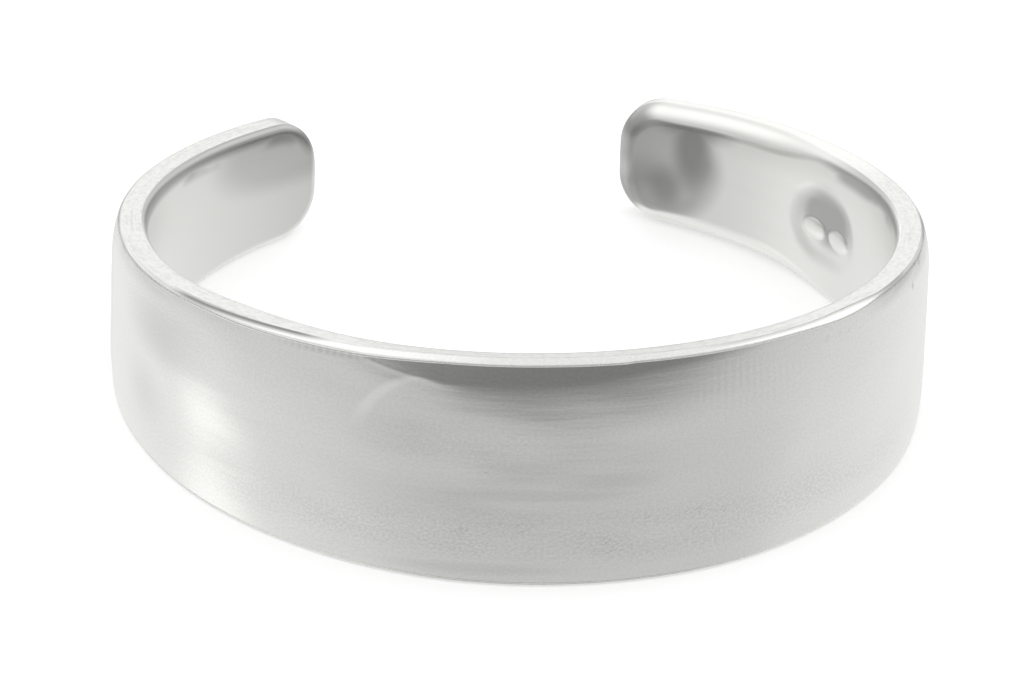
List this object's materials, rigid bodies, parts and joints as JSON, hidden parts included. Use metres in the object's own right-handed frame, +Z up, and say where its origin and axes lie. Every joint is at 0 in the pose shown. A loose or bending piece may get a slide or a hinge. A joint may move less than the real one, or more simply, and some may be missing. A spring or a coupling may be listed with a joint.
{
  "type": "toe ring",
  "caption": "Open toe ring: a plain polished silver band, wide at the front, narrowing evenly to two rounded ends with a gap between them, through which it is sprung onto a toe.",
  "frame": {"origin": "on the surface that the ring lies on, under the middle of its overall length and depth", "axes": "+Z up from the surface; +X to the ring's right, seen from the front; -Y towards the wide front of the band, +Y towards the gap between its ends"},
  "size_m": [0.0162, 0.0154, 0.0047],
  "materials": {
    "silver": "worn polish, sterling silver with fine scratches"
  },
  "bodies": {
    "root": {"band": "silver"}
  },
  "joints": []
}
